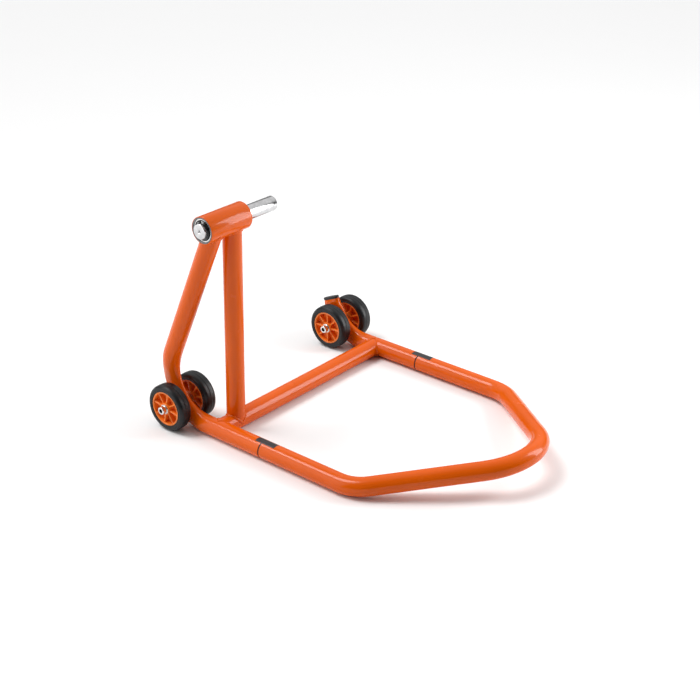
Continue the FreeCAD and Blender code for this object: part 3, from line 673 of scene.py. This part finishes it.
def weld_bead(name, start, along, target, target_along, target_radius, bead):
    """A rippled fillet bead where a frame tube meets another tube."""
    start, target = Vector(start), Vector(target)
    points, outward = seam(start, Vector(along).normalized(), TUBE_RADIUS,
                           target, Vector(target_along).normalized(), target_radius)
    length = sum((points[step] - points[step - 1]).length for step in range(BEAD_STEPS))
    ripples = round(length / RIPPLE_PITCH)
    bm = bmesh.new()
    rings = []
    travelled = 0.0
    for step in range(BEAD_STEPS):
        before, here, after = points[step - 1], points[step], points[(step + 1) % BEAD_STEPS]
        travelled += (here - before).length
        heading = (after - before).normalized()
        lift = across_axis(outward[step], heading).normalized()
        beside = heading.cross(lift)
        phase = (travelled / length * ripples) % 1.0
        ripple = RIPPLE_HEIGHT * (0.5 - abs(phase - 0.5) * 2)
        wave = 1.0 + ripple + WANDER * math.sin(travelled * WANDER_PER_METRE)
        loop = []
        for corner in range(BEAD_SIDES):
            turn = 2 * math.pi * corner / BEAD_SIDES
            spot = here + (lift * math.cos(turn) * BEAD_FLATNESS + beside * math.sin(turn)) * bead * wave
            spot.z = max(spot.z, FLOOR_GUARD)
            loop.append(bm.verts.new(spot))
        rings.append(loop)
    for step in range(BEAD_STEPS):
        first, second = rings[step - 1], rings[step]
        for corner in range(BEAD_SIDES):
            after = (corner + 1) % BEAD_SIDES
            bm.faces.new((first[corner], first[after], second[after], second[corner]))
    mesh = mesh_from(bm, name)
    smooth(mesh, 60.0)
    mesh.materials.append(PAINT)
    add_piece(name, mesh, "frame")


POST_FOOT_INSET, POST_TOP_INSET = 0.040, 0.044
STRUT_SETBACK = 0.0065
STRUT_RUN = 0.1
SIDE_X = {side: WHEEL_PLACE[f"{side}_left"].lerp(WHEEL_PLACE[f"{side}_right"], 0.5).x for side in SIDES}
# The post leans inwards from foot to top, and the strut meets the housing a little in front of its axis
POST_FOOT = Vector((SIDE_X["near"] + POST_FOOT_INSET, CROSS.y, CROSS.z))
POST_TOP = Vector((SIDE_X["near"] + POST_TOP_INSET, HOUSING.y, HOUSING.z))
STRUT_TOP = Vector((SIDE_X["near"], HOUSING.y - STRUT_SETBACK, HOUSING.z))
STRUT_UP = Vector((0, math.cos(STRUT_LEAN), math.sin(STRUT_LEAN)))
X_AXIS, Y_AXIS = Vector((1, 0, 0)), Vector((0, 1, 0))

for side, heading in (("near", -X_AXIS), ("far", X_AXIS)):
    weld_bead(f"weld_crossbar_{side}", CROSS, heading, (SIDE_X[side], CROSS.y, CROSS.z), Y_AXIS,
              TUBE_RADIUS, CROSSBAR_BEAD)
weld_bead("weld_post_foot", POST_FOOT.lerp(POST_TOP, 0.5), POST_FOOT - POST_TOP, CROSS, X_AXIS,
          TUBE_RADIUS, POST_BEAD)
weld_bead("weld_post_top", POST_FOOT, POST_TOP - POST_FOOT, HOUSING, X_AXIS,
          HOUSING_RADIUS, HOUSING_BEAD)
weld_bead("weld_strut_top", STRUT_TOP - STRUT_UP * STRUT_RUN, STRUT_UP, HOUSING, X_AXIS,
          HOUSING_RADIUS, HOUSING_BEAD)

# ---------------------------------------------------------------- camera, floor and light

FLOOR_HALF = 14.0
FLOOR_DROP = 0.0001
# The dome of soft light: sine of elevation where it starts and is full, and its strength at each
DOME = (0.12, 0.50, 0.02, 0.95)
# The room's darker side, and how its light falls off towards that side
DARK_SIDE = (-0.76, -0.64, 0.0)
DARK_FADE = (-0.30, 0.55, 1.0, 0.12)
# The sun's disc and its tilt from straight down are in degrees
SUN_STRENGTH = 1.72
SUN_ANGLE = 26.0
SUN_TILT = (-26.0, -18.0, 0.0)
# Soft boxes: place, size and power. Both face the middle of the stand.
SOFT_BOXES = {"left_box": ((-1.55, 1.05, 0.75), (1.6, 1.5), 12),
              "right_box": ((1.25, -1.15, 0.75), (0.6, 1.5), 24)}
STAND_MIDDLE = Vector((0, 0, 0.15))

camera = bpy.data.objects.new("camera", bpy.data.cameras.new("camera"))
SCENE.collection.objects.link(camera)
camera.location = CAMERA_PLACE
camera.rotation_euler = (math.radians(90 - CAMERA_ELEVATION), 0, math.radians(CAMERA_AZIMUTH))
camera.data.sensor_width = SENSOR_MM
camera.data.lens = SENSOR_MM * FOCAL_IN_WIDTHS
camera.data.clip_end = 100
SCENE.camera = camera

SCENE.view_settings.view_transform = "Standard"
SCENE.view_settings.look = "None"

bm = bmesh.new()
bmesh.ops.create_grid(bm, x_segments=1, y_segments=1, size=FLOOR_HALF)
floor_mesh = bpy.data.meshes.new("floor")
bm.to_mesh(floor_mesh)
bm.free()
floor = bpy.data.objects.new("floor", floor_mesh)
SCENE.collection.objects.link(floor)
floor.location.z = -FLOOR_DROP
floor_look = Nodes("pale_floor", Roughness=0.9, Specular_IOR_Level=0.1)
floor_colour = floor_look.blend(floor_look.noise(0.6), *PALE_FLOOR)
floor_mesh.materials.append(floor_look.finish(Base_Color=floor_colour))

world = bpy.data.worlds.new("studio")
SCENE.world = world
world.use_nodes = True
background = world.node_tree.nodes["Background"]
background.inputs["Color"].default_value = (1, 1, 1, 1)
world_node = world.node_tree.nodes.new
world_link = world.node_tree.links.new


def ramp(value, limits):
    """Map a world value by limits (start, end, result at start, result at end)."""
    made = world_node("ShaderNodeMapRange")
    for socket, limit in zip(("From Min", "From Max", "To Min", "To Max"), limits):
        made.inputs[socket].default_value = limit
    world_link(value, made.inputs["Value"])
    return made


direction = world_node("ShaderNodeTexCoord").outputs["Generated"]
height = world_node("ShaderNodeSeparateXYZ")
world_link(direction, height.inputs[0])
facing = world_node("ShaderNodeVectorMath")
facing.operation = "DOT_PRODUCT"
facing.inputs[1].default_value = DARK_SIDE
world_link(direction, facing.inputs[0])
room = world_node("ShaderNodeMath")
room.operation = "MULTIPLY"
world_link(ramp(height.outputs["Z"], DOME).outputs[0], room.inputs[0])
world_link(ramp(facing.outputs["Value"], DARK_FADE).outputs[0], room.inputs[1])
# The camera sees plain white behind the stand, and everything else is lit by the room
strength = ramp(world_node("ShaderNodeLightPath").outputs["Is Camera Ray"], (0.0, 1.0, 0.0, 1.0))
world_link(room.outputs[0], strength.inputs["To Min"])
world_link(strength.outputs[0], background.inputs["Strength"])


def soft_box(name, place, size, power):
    data = bpy.data.lights.new(name, "AREA")
    data.shape = "RECTANGLE"
    data.size, data.size_y = size
    data.energy = power
    lamp = bpy.data.objects.new(name, data)
    SCENE.collection.objects.link(lamp)
    lamp.location = place
    lamp.rotation_euler = (STAND_MIDDLE - Vector(place)).to_track_quat("-Z", "Y").to_euler()
    lamp.visible_camera = False


overhead = bpy.data.objects.new("overhead", bpy.data.lights.new("overhead", "SUN"))
SCENE.collection.objects.link(overhead)
overhead.data.energy = SUN_STRENGTH
overhead.data.angle = math.radians(SUN_ANGLE)
overhead.rotation_euler = [math.radians(part) for part in SUN_TILT]
for name, (place, size, power) in SOFT_BOXES.items():
    soft_box(name, place, size, power)
